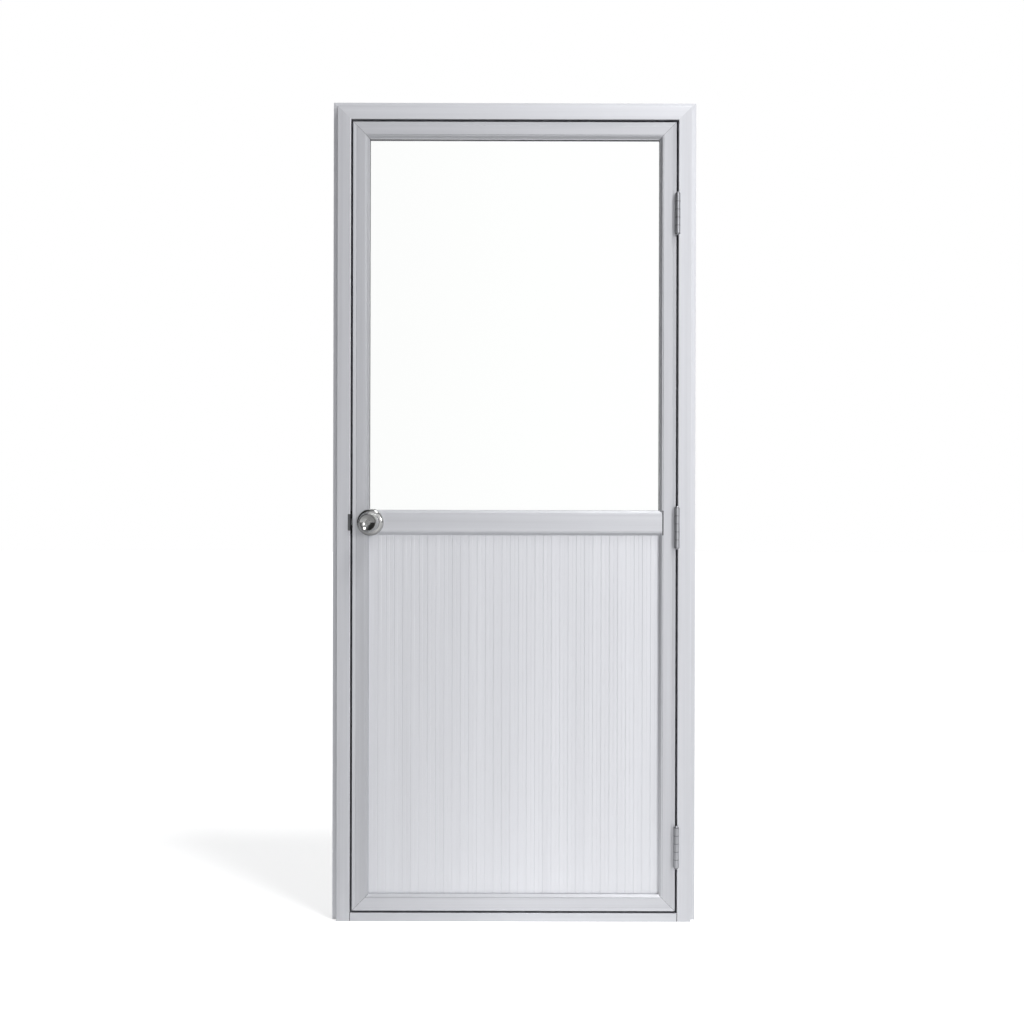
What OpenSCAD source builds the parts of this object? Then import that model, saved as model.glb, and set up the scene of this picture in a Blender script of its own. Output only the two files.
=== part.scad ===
// Aluminium swing door: a mitred frame with a wall flange, and a leaf with clear
// glass above a middle rail and a ribbed panel below it, on three butt hinges.
// X runs to the right and Y into the wall, seen from the side that the door opens to.
// The origin is on the floor, at the middle of the doorway, in the wall's face.

/* [Frame] */
// Overall width, over the wall flanges
frame_w = 910; // [700:1:1200]
// Overall height, from the floor to the top of the wall flange
frame_h = 2050; // [1900:1:2400]
// Depth of the frame from front to back
frame_d = 80; // [76:1:140]
// Width of the frame's front face
frame_face = 34; // [28:1:60]
// Wall of the frame's hollow section
frame_wall = 2; // [1.6:0.1:3]
// Rounding of the frame's front corner at the doorway
frame_r = 2; // [0.8:0.1:3]
// How far the frame's front face stands in front of the wall
proud = 20; // [16:1:40]
// How far the wall flange reaches out past the frame's side
flange_w = 12; // [8:1:30]
// Thickness of the wall flange
flange_t = 2; // [1.5:0.1:4]
// Height of the sill
sill_h = 21; // [12:1:40]
// How far the door stops stand into the doorway
stop_w = 12; // [11.5:0.5:20]
// Wall of the door stops
stop_wall = 1.4; // [1:0.1:2]
// Width of the seal on the stops
seal_w = 5; // [3:0.5:6]
// Space that the seal leaves to the closed leaf
seal_clear = 1; // [0.5:0.1:2]
// Wall of the hollow seal
seal_wall = 0.9; // [0.6:0.1:1.2]
// Width of the slot in the stops that the seal's foot is pushed into
seal_slot = 2.4; // [1.6:0.1:2.8]

/* [Leaf] */
// Space between the leaf and the frame at the sides and over the sill
leaf_gap = 5; // [5:0.5:7]
// Space between the leaf and the head
head_gap = 6; // [4:0.5:8]
// Space between the closed leaf and the stops behind it
stop_gap = 6; // [5:0.5:8]
// Thickness of the leaf
leaf_t = 38; // [36:1:46]
// Wall of the leaf's hollow sections
leaf_wall = 1.8; // [1.4:0.1:2.5]
// Width of the face of the stiles and of the top and bottom rails
stile_face = 32; // [28:1:60]
// Height of the face of the middle rail
rail_face = 44; // [44:0.5:90]
// Height of the middle of the middle rail and of the lock above the floor
lock_z = 997; // [850:1:1150]
// Width of the sloped band along a section's outer edge
band_w = 9; // [5:0.5:10]
// How far that band slopes back
band_drop = 0.6; // [0.4:0.1:1.6]
// Rounding of the sections' outer corners
edge_r = 0.8; // [0.4:0.1:1]

/* [Glazing] */
// Width of the glazing beads and of the fixed lip behind them
bead_w = 9; // [8:0.5:12]
// Wall of the glazing beads and of the fixed lip
bead_wall = 1.4; // [1:0.1:1.8]
// How far the beads' flat edge lies behind the leaf's face
bead_set = 1.4; // [1.2:0.1:2]
// Width of the beads' flat edge
bead_land = 2; // [1:0.1:5]
// How far the sloped face of a bead goes back
bead_slope = 6; // [3:0.5:7]
// Rounding between a bead's flat edge, its slope and its inner face
bead_r = 1.2; // [0.4:0.1:2]
// How far the lug that a bead snaps over stands out of the pocket's floor
lug_rise = 3; // [2.6:0.1:4]
// Width of that lug's head
lug_w = 3.6; // [2.6:0.1:4]
// Play of a bead on its lug
snap_play = 0.2; // [0.1:0.05:0.4]
// Depth of the pocket from the leaf's face to the fixed lip
pocket_d = 25; // [24:0.5:27]
// Thickness of the glass
glass_t = 5; // [4:0.5:6]
// Thickness of the gaskets on either side of the glass
gasket_t = 3; // [2:0.5:3.5]
// How far the gaskets show past the beads
gasket_show = 0.3; // [0:0.1:2]
// Space between the edge of the glass or panel and the bottom of its pocket
edge_clear = 3; // [2:0.5:4]

/* [Ribbed panel] */
// Thickness of the panel
panel_t = 12; // [10:0.5:14]
// Number of ribs across the panel's visible width
panel_ribs = 35; // [20:1:50]
// Width of the groove between two ribs
groove_w = 2.4; // [1:0.1:4]
// Depth of that groove
groove_d = 0.5; // [0.3:0.1:1.2]
// Width of the fine line on each rib
line_w = 1.4; // [0.6:0.1:3]
// Depth of the fine line
line_d = 0.25; // [0.1:0.05:0.8]
// Skin and web thickness of the hollow panel
panel_wall = 1.2; // [1:0.1:2.4]

/* [Hinges] */
// Height of a hinge's plates
hinge_h = 100; // [76:1:125]
// Depth of a hinge's plates, from the leaf's face back
hinge_plate_d = 30; // [20:1:32]
// Thickness of a hinge's plates
hinge_plate_t = 2; // [1.5:0.1:2.2]
// Outer diameter of the knuckles
knuckle_d = 13; // [11:0.5:16]
// Space between the knuckles and the frame's face
knuckle_set = 0.5; // [0.3:0.1:1.5]
// Space between neighbouring knuckles
knuckle_gap = 0.4; // [0.2:0.1:1]
// Diameter of the hinge pins
pin_d = 6; // [5:0.5:8]
// Radial clearance of the pins in their knuckles
pin_clear = 0.1; // [0.05:0.01:0.2]
// Height of the button at each end of a pin
tip_h = 5; // [3:0.5:8]
// Height of the top hinge's middle below the leaf's top edge
hinge_top_in = 229; // [120:1:300]
// Height of the bottom hinge's middle above the leaf's bottom edge
hinge_low_in = 161; // [120:1:300]
// Height of the middle hinge's middle above the floor
hinge_mid_z = 985; // [850:1:1150]

/* [Screws] */
// Diameter of the screws through the hinge, strike and face plates
screw_d = 4.2; // [3:0.1:4.8]
// Diameter of their countersunk heads
screw_head_d = 8; // [6:0.5:9]
// Bore of the screw ports in the middle rail and the sill
port_d = 4.4; // [3.5:0.1:5]
// Wall of the screw ports
port_wall = 1.4; // [1:0.1:2]
// Distance between the outer screws of a hinge plate
hinge_screw_pitch = 72; // [50:1:84]
// How far the middle screw of a hinge plate lies nearer to the knuckles
hinge_screw_step = 8; // [0:0.5:12]
// Distance between the screws of the face plate and of the strike plate
plate_screw_pitch = 41; // [34:1:46]
// Distance from the hinge plates' back edge to the outer screws
hinge_screw_inset = 11.4; // [9:0.2:14]

/* [Lock] */
// Distance from the leaf's edge to the middle of the knobs
backset = 45; // [43:1:70]
// Diameter of the roses behind the knobs
rose_d = 67; // [58:1:68]
// How far a rose stands out
rose_h = 9; // [6:0.5:14]
// Wall of the pressed roses
rose_wall = 1.5; // [1:0.1:2.5]
// Largest diameter of a knob
knob_d = 51; // [46:1:58]
// How far a knob stands out from the leaf
knob_h = 62; // [54:1:75]
// Diameter of the rim round a knob's dished front
knob_rim_d = 41; // [34:1:44]
// Depth of the dish in a knob's front
dish_d = 8; // [4:0.5:10]
// Diameter of a knob's neck
neck_d = 25; // [20:1:30]
// Wall of the hollow knobs
knob_wall = 2.5; // [1.5:0.1:3.5]
// Diameter of the spindle through the lock
spindle_d = 14; // [10:1:15]
// Diameter of the key cylinder in the outside knob
cylinder_d = 13; // [10:0.5:15]
// Diameter of the lock's body
lock_body_d = 38; // [34:1:40]
// Diameter of the latch tube
latch_tube_d = 23; // [21:0.5:24]
// Clearance of the lock's moving parts
lock_clear = 0.3; // [0.2:0.05:0.5]
// Clearance between parts that are fixed in one another
fixed_clear = 0.05; // [0.02:0.01:0.1]
// Thickness of the latch bolt, front to back
bolt_t = 11; // [8:0.5:12]
// Height of the latch bolt
bolt_h = 15; // [10:0.5:16]
// How far the latch bolt stands out of the leaf's edge
bolt_throw = 11; // [9:0.5:12]
// Thickness of the latch's face plate and of the strike plate
plate_t = 1.2; // [1:0.1:1.4]
// Height of the face plate and of the strike plate
plate_h = 57; // [50:1:70]
// Width of the face plate
face_plate_w = 25; // [20:1:28]
// Width of the strike plate in the reveal
strike_w = 30; // [26:1:33]
// Height of the strike plate's lip
lip_h = 41; // [30:1:46]
// How far the lip reaches over the frame's front face
lip_reach = 5; // [3:0.5:8]

/* [Hidden] */
$fn = 64;

y_front = -proud;
y_leaf_back = y_front + leaf_t;
y_stop = y_leaf_back + stop_gap;
y_back = y_front + frame_d;

reveal_v = flange_w + frame_face;
reveal_x = frame_w / 2 - reveal_v;
head_z = frame_h - reveal_v;

leaf_x = reveal_x - leaf_gap;
leaf_z0 = sill_h + leaf_gap;
leaf_z1 = head_z - head_gap;
rail_z0 = lock_z - rail_face / 2;
rail_z1 = lock_z + rail_face / 2;
open_x = leaf_x - stile_face;

// A ring is [half the width, bottom, top] of a rectangle seen from the front
frame_ring = [frame_w / 2, 0, frame_h];
stop_ring = [reveal_x, sill_h, head_z];
leaf_ring = [leaf_x, leaf_z0, leaf_z1];
glass_ring = [open_x, rail_z1, leaf_z1 - stile_face];
panel_ring = [open_x, leaf_z0 + stile_face, rail_z0];

seal_barb = 0.6;
seal_foot = seal_slot + 2 * seal_barb;
seal_x = stop_w - stop_wall - seal_foot / 2 - fixed_clear;

band_step = 0.8;
slope_end = bead_set + bead_slope;
slope_angle = atan2(bead_slope - bead_r, bead_w - bead_land - bead_r);
lug_in = 4;
lug_y = bead_set + bead_wall + lug_in;
lug_stem = 1.4;
lug_head = 1.2;
glass_bead_back = pocket_d - 2 * gasket_t - glass_t;
panel_bead_back = pocket_d - panel_t;
rib_w = 2 * (open_x - bead_w) / panel_ribs;

hinge_x = reveal_x - leaf_gap / 2;
hinge_y = y_front - knuckle_d / 2 - knuckle_set;
knuckles = 5;
knuckle_step = hinge_h / knuckles;
tip_over = 2;
tip_steps = 6;
hinge_screw_y = knuckle_d / 2 + knuckle_set + hinge_plate_d - hinge_screw_inset;
hinge_top_z = leaf_z1 - hinge_top_in;
hinge_bottom_z = leaf_z0 + hinge_low_in;

lock_x = -leaf_x + backset;
latch_y = y_front + leaf_t / 2;
bolt_tail = 20;
bolt_room = 1;
bolt_pocket = bolt_throw - leaf_gap + bolt_room;
strike_inset = 3;
strike_hole_room = 1;
knob_front = 20;
knob_mid_z = knob_h - knob_front;
neck_h = 11;
knob_low_r = knob_mid_z - rose_h - neck_h;
rim_r = 1;
knob_high_r = (knob_front - rim_r) / sin(acos(knob_rim_d / knob_d));
knob_seat = 0.5;
// The knob's wall is thicker under its rim and at its neck
rim_wall = 1.2 * knob_wall;
rim_turn = 8;
neck_land = 1;
neck_rise = 2;
spindle_in = 20;
cylinder_l = 11;
cylinder_out = 1.5;
key_slot = [1.6, 8.5, 7];
past = 1;
far = 400;

function arc(cx, cy, r, from, to, n = 4) =
    [for (i = [0:n]) let (a = from + (to - from) * i / n) [cx + r * cos(a), cy + r * sin(a)]];

function shifted(points, dx) = [for (p = points) [p[0] + dx, p[1]]];

function turned_over(points) =
    [for (i = [len(points) - 1:-1:0]) [points[i][0], leaf_t - points[i][1]]];

function turned_back(points) = [for (i = [len(points) - 1:-1:0]) points[i]];

function shrunk(ring, by) = [ring[0] - by, ring[1] + by, ring[2] - by];

module half_space() {
    translate([-far / 2, -far / 2, 0]) cube(far);
}

// A length of a section, cut to 45 degrees at its ends where it meets its neighbours.
// The section's X runs inwards from the edge of its ring.
module bar(length, start_mitred = true) {
    difference() {
        linear_extrude(height = length) children();
        if (start_mitred) rotate([0, 135, 0]) half_space();
        translate([0, 0, length]) rotate([0, 45, 0]) half_space();
    }
}

module on_left(ring, start_mitred = true) {
    translate([-ring[0], 0, ring[1]]) bar(ring[2] - ring[1], start_mitred) children();
}

module on_right(ring, start_mitred = true) {
    mirror([1, 0, 0]) on_left(ring, start_mitred) children();
}

module on_top(ring) {
    translate([-ring[0], 0, ring[2]]) rotate([0, 90, 0]) bar(2 * ring[0]) children();
}

module on_bottom(ring) {
    translate([-ring[0], 0, ring[1]]) mirror([0, 0, 1]) rotate([0, 90, 0])
        bar(2 * ring[0]) children();
}

// Shapes drawn with Z away from the leaf, stood on its front or its back face
module on_front_face() {
    translate([lock_x, y_front, lock_z]) rotate([90, 0, 0]) children();
}

module on_back_face() {
    translate([lock_x, y_leaf_back, lock_z]) rotate([-90, 0, 0]) children();
}

// Two chambers with a web between them in line with the wall flange
module frame_section() {
    r = edge_r;
    w = frame_wall;
    hollow_w = frame_face - 2 * w;
    translate([0, y_front]) difference() {
        polygon(concat(
            [[0, proud - flange_t], [0, proud], [flange_w, proud], [flange_w, frame_d]],
            [[reveal_v, frame_d]],
            arc(reveal_v - frame_r, frame_r, frame_r, 0, -90, 6),
            arc(flange_w + r, r, r, -90, -180),
            [[flange_w, proud - flange_t]]
        ));
        translate([flange_w + w, w]) square([hollow_w, proud - flange_t - w]);
        translate([flange_w + w, proud]) square([hollow_w, frame_d - proud - w]);
    }
}

// A C-shaped port, open upwards, that a screw along the section cuts its thread into
module screw_port() {
    outer = port_d / 2 + port_wall;
    slot = port_d / 2;
    difference() {
        union() {
            circle(outer);
            translate([-outer, -outer - port_wall / 2]) square([2 * outer, outer]);
        }
        circle(port_d / 2);
        translate([-slot / 2, 0]) square([slot, outer + past]);
    }
}

// A countersunk hole down through a plate whose face is at Z 0
module screw_hole(thickness) {
    cone = (screw_head_d - screw_d) / 2;
    translate([0, 0, -past]) {
        cylinder(d1 = screw_head_d + 2 * past, d2 = screw_d, h = cone + past);
        cylinder(d = screw_d, h = thickness + 2 * past);
    }
}

module strike_pocket() {
    hole_t = bolt_t + 4 * strike_hole_room;
    hole_h = bolt_h + 4 * strike_hole_room;
    x = -reveal_x - plate_t;
    translate([x, y_front + strike_inset, lock_z - plate_h / 2])
        cube([plate_t + past, strike_w - strike_inset, plate_h]);
    translate([x, y_front - past, lock_z - lip_h / 2])
        cube([plate_t + past, strike_inset + 2 * past, lip_h]);
    translate([-reveal_x - bolt_pocket, latch_y - hole_t / 2, lock_z - hole_h / 2])
        cube([bolt_pocket + past, hole_t, hole_h]);
}

module jamb_latch_side() {
    color("silver") difference() {
        on_left(frame_ring, start_mitred = false) frame_section();
        strike_pocket();
    }
}

module jamb_hinge_side() {
    color("silver") on_right(frame_ring, start_mitred = false) frame_section();
}

module head() {
    color("silver") on_top(frame_ring) frame_section();
}

// Two chambers, each with a port for the screws through the jambs
module sill_section() {
    r = edge_r;
    w = frame_wall;
    chamber = [(frame_d - 3 * w) / 2, sill_h - 2 * w];
    port_y = w + port_d / 2 + port_wall;
    difference() {
        polygon(concat(
            [[0, 0], [frame_d, 0], [frame_d, sill_h]],
            arc(r, sill_h - r, r, 90, 180)
        ));
        translate([w, w]) square(chamber);
        translate([2 * w + chamber[0], w]) square(chamber);
    }
    translate([w + chamber[0] / 2, port_y]) screw_port();
    translate([2 * w + 1.5 * chamber[0], port_y]) screw_port();
}

module sill() {
    color("silver") translate([-reveal_x, y_front, 0]) rotate([90, 0, 90])
        linear_extrude(height = 2 * reveal_x) sill_section();
}

module stop_section() {
    r = edge_r;
    w = stop_wall;
    depth = y_back - y_stop;
    translate([0, y_stop]) difference() {
        polygon(concat(
            [[0, 0]],
            arc(stop_w - r, r, r, -90, 0),
            arc(stop_w - r, depth - r, r, 0, 90),
            [[0, depth]]
        ));
        translate([w, w]) square([stop_w - 2 * w, depth - 2 * w]);
        translate([seal_x - seal_slot / 2, -past]) square([seal_slot, w + 2 * past]);
    }
}

module stop_latch_side() {
    color("silver") on_left(stop_ring) stop_section();
}

module stop_hinge_side() {
    color("silver") on_right(stop_ring) stop_section();
}

module stop_head() {
    color("silver") on_top(stop_ring) stop_section();
}

module stop_sill() {
    color("silver") on_bottom(stop_ring) stop_section();
}

// A hollow bulb that stands on the stop behind the leaf's edge, with an arrow-shaped foot
module seal_section() {
    r = seal_w / 2;
    h = stop_gap - seal_clear;
    neck = seal_slot / 2 - fixed_clear;
    barb = seal_foot / 2;
    under = stop_wall + fixed_clear;
    translate([seal_x, y_stop]) difference() {
        polygon(concat(
            [[-neck, under], [-neck, 0], [-r, 0]],
            arc(0, r - h, r, 180, 360, 10),
            [[r, 0], [neck, 0], [neck, under]],
            [[barb, under], [neck / 2, under + seal_foot / 2]],
            [[-neck / 2, under + seal_foot / 2], [-barb, under]]
        ));
        translate([0, r - h]) circle(r - seal_wall);
    }
}

module stop_seals() {
    color("dimgray") union() {
        on_left(stop_ring) seal_section();
        on_right(stop_ring) seal_section();
        on_top(stop_ring) seal_section();
        on_bottom(stop_ring) seal_section();
    }
}

// A flat plate let into the reveal, with a lip bent round the jamb's front corner
module strike_plate() {
    hole_t = bolt_t + 2 * strike_hole_room;
    hole_h = bolt_h + 2 * strike_hole_room;
    color("gainsboro") difference() {
        union() {
            translate([-reveal_x - plate_t, y_front + strike_inset, lock_z - plate_h / 2])
                cube([plate_t, strike_w - strike_inset, plate_h]);
            translate([-reveal_x, y_front, lock_z - lip_h / 2]) linear_extrude(height = lip_h)
                polygon(concat(
                    [[-plate_t, strike_inset + past], [0, strike_inset + past]],
                    arc(-plate_t, 0, plate_t, 0, -90),
                    [[-plate_t - lip_reach, -plate_t], [-plate_t - lip_reach, 0], [-plate_t, 0]]
                ));
        }
        translate([-reveal_x - plate_t - past, latch_y - hole_t / 2, lock_z - hole_h / 2])
            cube([plate_t + 2 * past, hole_t, hole_h]);
        for (i = [-0.5, 0.5])
            translate([-reveal_x, latch_y, lock_z + i * plate_screw_pitch]) rotate([0, -90, 0])
                screw_hole(plate_t);
    }
}

// side is 1 for the plate on the frame and -1 for the plate on the leaf
module hinge_plate(z, side, own_knuckles) {
    inner = leaf_gap / 2 - hinge_plate_t;
    plate_x = side > 0 ? inner : -inner - hinge_plate_t;
    face = y_front - hinge_y;
    height = knuckle_step - knuckle_gap;
    color("lightgray") translate([hinge_x, hinge_y, z]) difference() {
        union() {
            translate([plate_x, face, -hinge_h / 2])
                cube([hinge_plate_t, hinge_plate_d, hinge_h]);
            for (i = own_knuckles) translate([0, 0, i * knuckle_step - height / 2]) {
                cylinder(d = knuckle_d, h = height);
                translate([plate_x, 0, 0]) cube([hinge_plate_t, face + past, height]);
            }
        }
        translate([0, 0, -hinge_h]) cylinder(d = pin_d + 2 * pin_clear, h = 2 * hinge_h);
        for (i = [-1:1])
            translate([
                side * inner,
                hinge_screw_y - (i == 0 ? hinge_screw_step : 0),
                i * hinge_screw_pitch / 2
            ]) rotate([0, side * 90, 0]) screw_hole(hinge_plate_t);
    }
}

module hinge_pin(z) {
    half = (hinge_h - knuckle_gap) / 2;
    button_r = pin_d / 2 + tip_over;
    turns = [for (i = [0:tip_steps - 1]) 90 * i / tip_steps];
    upper_tip = [for (a = turns) [button_r * sin(a), half + tip_h * cos(a)]];
    lower_tip = [for (a = turns) [button_r * sin(a), -half - tip_h * cos(a)]];
    color("lightgray") translate([hinge_x, hinge_y, z]) rotate_extrude()
        polygon(concat(
            lower_tip,
            [[button_r, -half], [pin_d / 2, -half], [pin_d / 2, half], [button_r, half]],
            turned_back(upper_tip)
        ));
}

module hinge_top_frame_plate() {
    hinge_plate(hinge_top_z, 1, [-2, 0, 2]);
}

module hinge_middle_frame_plate() {
    hinge_plate(hinge_mid_z, 1, [-2, 0, 2]);
}

module hinge_bottom_frame_plate() {
    hinge_plate(hinge_bottom_z, 1, [-2, 0, 2]);
}

module hinge_top_leaf_plate() {
    hinge_plate(hinge_top_z, -1, [-1, 1]);
}

module hinge_middle_leaf_plate() {
    hinge_plate(hinge_mid_z, -1, [-1, 1]);
}

module hinge_bottom_leaf_plate() {
    hinge_plate(hinge_bottom_z, -1, [-1, 1]);
}

module hinge_top_pin() {
    hinge_pin(hinge_top_z);
}

module hinge_middle_pin() {
    hinge_pin(hinge_mid_z);
}

module hinge_bottom_pin() {
    hinge_pin(hinge_bottom_z);
}

// Front of a leaf section, from its outer corner over the sloped band to the flat
function band_points() = concat(
    arc(edge_r, edge_r, edge_r, 180, 270),
    [[band_w, band_drop], [band_w + band_step, 0]]
);

// The visible face of a bead, from its flat edge down its slope
bead_face = concat(
    [[0, bead_set]],
    arc(bead_land, bead_set + bead_r, bead_r, -90, slope_angle - 90, 3),
    arc(bead_w - bead_r, slope_end, bead_r, slope_angle - 90, 0, 3)
);

// The inside of that face, a wall's thickness below it, from an edge at X
function bead_inside(x) =
    let (corner_x = bead_land + (bead_r - bead_wall) * tan(slope_angle / 2))
    let (end_x = bead_w - bead_wall)
    [
        [x, bead_set + bead_wall],
        [corner_x, bead_set + bead_wall],
        [end_x, bead_set + bead_wall + (end_x - corner_x) * tan(slope_angle)]
    ];

// The fixed lip behind the glass or panel, from the bottom of the pocket
lip_points = concat([[0, pocket_d], [bead_w, pocket_d]], turned_over(bead_face));

module stile_outline() {
    polygon(concat(
        band_points(),
        arc(stile_face - edge_r, edge_r, edge_r, -90, 0),
        shifted(lip_points, stile_face),
        arc(stile_face - edge_r, leaf_t - edge_r, edge_r, 0, 90),
        turned_over(band_points())
    ));
}

module stile_hollow() {
    w = leaf_wall;
    skin = w + band_drop;
    step = band_w + w;
    polygon([
        [w, skin],
        [step, skin],
        [step + w, w],
        [stile_face - w, w],
        [stile_face - w, leaf_t - w],
        [step + w, leaf_t - w],
        [step, leaf_t - skin],
        [w, leaf_t - skin]
    ]);
}

module lip_hollow() {
    floor_y = pocket_d + bead_wall;
    polygon(concat([[0, floor_y], [bead_w - bead_wall, floor_y]], turned_over(bead_inside(0))));
}

// The T-shaped lug on the pocket's floor that a bead snaps over
module bead_lug() {
    translate([-leaf_wall / 2, lug_y - lug_stem / 2]) square([leaf_wall / 2 + lug_rise, lug_stem]);
    translate([lug_rise - lug_head, lug_y - lug_w / 2]) square([lug_head, lug_w]);
}

module stile_section() {
    translate([0, y_front]) {
        difference() {
            stile_outline();
            stile_hollow();
            translate([stile_face, 0]) lip_hollow();
        }
        translate([stile_face, 0]) bead_lug();
    }
}

// Takes the lip off a stile where the middle rail's end butts against it
module rail_notch() {
    reach = bead_w + past;
    translate([-open_x, y_back, 0]) rotate([90, 0, 0]) linear_extrude(height = frame_d)
        polygon([
            [0, rail_z0],
            [0, rail_z1],
            [reach, rail_z1 + reach],
            [reach, rail_z0 - reach]
        ]);
}

module lock_bore() {
    edge = -leaf_x - past;
    translate([lock_x, y_front - past, lock_z]) rotate([-90, 0, 0])
        cylinder(d = lock_body_d + 2 * lock_clear, h = leaf_t + 2 * past);
    translate([edge, latch_y, lock_z]) rotate([0, 90, 0])
        cylinder(d = latch_tube_d + 2 * lock_clear, h = backset + past);
    translate([edge, latch_y - face_plate_w / 2, lock_z - plate_h / 2])
        cube([plate_t + past, face_plate_w, plate_h]);
}

module stile_latch_side() {
    color("silver") difference() {
        on_left(leaf_ring) stile_section();
        rail_notch();
        lock_bore();
    }
}

module stile_hinge_side() {
    color("silver") difference() {
        on_right(leaf_ring) stile_section();
        mirror([1, 0, 0]) rail_notch();
    }
}

module rail_top() {
    color("silver") on_top(leaf_ring) stile_section();
}

module rail_bottom() {
    color("silver") on_bottom(leaf_ring) stile_section();
}

// The middle rail's section, with a lip and a lug below it and above it
module rail_section() {
    r = edge_r;
    w = leaf_wall;
    port_x = w + port_d / 2 + port_wall;
    difference() {
        polygon(concat(
            arc(r, r, r, 180, 270),
            arc(rail_face - r, r, r, -90, 0),
            shifted(lip_points, rail_face),
            arc(rail_face - r, leaf_t - r, r, 0, 90),
            arc(r, leaf_t - r, r, 90, 180),
            [for (i = [len(lip_points) - 1:-1:0]) [-lip_points[i][0], lip_points[i][1]]]
        ));
        translate([w, w]) square([rail_face - 2 * w, leaf_t - 2 * w]);
        translate([rail_face, 0]) lip_hollow();
        mirror([1, 0]) lip_hollow();
    }
    translate([rail_face, 0]) bead_lug();
    mirror([1, 0]) bead_lug();
    translate([port_x, leaf_t / 2]) rotate(-90) screw_port();
    translate([rail_face - port_x, leaf_t / 2]) rotate(90) screw_port();
}

// Mitres the ends of the middle rail's lips to meet the lips of the stiles
module lip_mitres() {
    reach = bead_w + past;
    for (side = [-1, 1]) translate([side * open_x, y_back, 0]) rotate([90, 0, 0])
        linear_extrude(height = frame_d) {
            polygon([[0, rail_z1], [0, rail_z1 + reach], [-side * reach, rail_z1 + reach]]);
            polygon([[0, rail_z0], [0, rail_z0 - reach], [-side * reach, rail_z0 - reach]]);
        }
}

module rail_middle() {
    color("silver") difference() {
        translate([-open_x, y_front, rail_z0]) mirror([0, 0, 1]) rotate([0, 90, 0])
            linear_extrude(height = 2 * open_x) rail_section();
        lip_mitres();
        lock_bore();
    }
}

// A hollow bead, slotted where it snaps over the lug, with its back at the given depth
module bead_section(back) {
    w = bead_wall;
    slot = lug_stem + 2 * snap_play;
    translate([0, y_front]) difference() {
        polygon(concat(bead_face, [[bead_w, back], [0, back]]));
        polygon(concat(bead_inside(w), [[bead_w - w, back - w], [w, back - w]]));
        translate([-past, lug_y - slot / 2]) square([past + lug_rise, slot]);
    }
}

module glass_bead_latch_side() {
    color("silver") on_left(glass_ring) bead_section(glass_bead_back);
}

module glass_bead_hinge_side() {
    color("silver") on_right(glass_ring) bead_section(glass_bead_back);
}

module glass_bead_top() {
    color("silver") on_top(glass_ring) bead_section(glass_bead_back);
}

module glass_bead_bottom() {
    color("silver") on_bottom(glass_ring) bead_section(glass_bead_back);
}

module panel_bead_latch_side() {
    color("silver") on_left(panel_ring) bead_section(panel_bead_back);
}

module panel_bead_hinge_side() {
    color("silver") on_right(panel_ring) bead_section(panel_bead_back);
}

module panel_bead_top() {
    color("silver") on_top(panel_ring) bead_section(panel_bead_back);
}

module panel_bead_bottom() {
    color("silver") on_bottom(panel_ring) bead_section(panel_bead_back);
}

module glass_pane() {
    ring = shrunk(glass_ring, edge_clear);
    depth = glass_bead_back + gasket_t;
    color([0.8, 0.9, 0.95, 0.4]) translate([-ring[0], y_front + depth, ring[1]])
        cube([2 * ring[0], glass_t, ring[2] - ring[1]]);
}

module gasket_ring(depth) {
    width = bead_w + gasket_show - edge_clear;
    outer = shrunk(glass_ring, edge_clear);
    inner = shrunk(outer, width);
    translate([0, y_front + depth + gasket_t, 0]) rotate([90, 0, 0])
        linear_extrude(height = gasket_t) difference() {
            translate([-outer[0], outer[1]]) square([2 * outer[0], outer[2] - outer[1]]);
            translate([-inner[0], inner[1]]) square([2 * inner[0], inner[2] - inner[1]]);
        }
}

module glass_gaskets() {
    color("dimgray") {
        gasket_ring(glass_bead_back);
        gasket_ring(pocket_d - gasket_t);
    }
}

// One rib of the panel's front, a groove at its left and a fine line in its middle
function rib_points(x) = [
    [x + groove_w / 2, 0],
    [x + (rib_w - line_w) / 2, 0],
    [x + rib_w / 2, line_d],
    [x + (rib_w + line_w) / 2, 0],
    [x + rib_w - groove_w / 2, 0],
    [x + rib_w - groove_w / 4, groove_d],
    [x + rib_w + groove_w / 4, groove_d]
];

function skin_points() = [for (i = [0:panel_ribs - 1], p = rib_points(i * rib_w)) p];

module ribbed_panel() {
    edge = bead_w - edge_clear;
    visible = panel_ribs * rib_w;
    front = shifted(skin_points(), -visible / 2);
    last = len(front) - 3;
    back = [for (i = [last:-1:0]) [front[i][0], panel_t - front[i][1]]];
    faces = [for (i = [0:last]) front[i]];
    half = visible / 2 + edge;
    w = panel_wall;
    skin = w + groove_d;
    height = panel_ring[2] - panel_ring[1] - 2 * edge_clear;
    color("silver") translate([0, y_front + panel_bead_back, panel_ring[1] + edge_clear])
        linear_extrude(height = height) difference() {
            polygon(concat(
                [[-half, panel_t], [-half, 0]], faces,
                [[half, 0], [half, panel_t]], back
            ));
            for (i = [0:panel_ribs - 1])
                translate([-visible / 2 + i * rib_w + w / 2, skin])
                    square([rib_w - w, panel_t - 2 * skin]);
        }
}

module lock_body() {
    channel = bolt_tail + bolt_throw + bolt_room;
    t = bolt_t + 2 * lock_clear;
    h = bolt_h + 2 * lock_clear;
    color("darkgray") difference() {
        union() {
            translate([lock_x, y_front, lock_z]) rotate([-90, 0, 0])
                cylinder(d = lock_body_d, h = leaf_t);
            translate([-leaf_x + plate_t, latch_y, lock_z]) rotate([0, 90, 0])
                cylinder(d = latch_tube_d, h = backset - plate_t);
        }
        translate([lock_x, y_front - past, lock_z]) rotate([-90, 0, 0])
            cylinder(d = spindle_d + 2 * lock_clear, h = leaf_t + 2 * past);
        translate([-leaf_x, latch_y - t / 2, lock_z - h / 2]) cube([channel, t, h]);
    }
}

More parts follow.
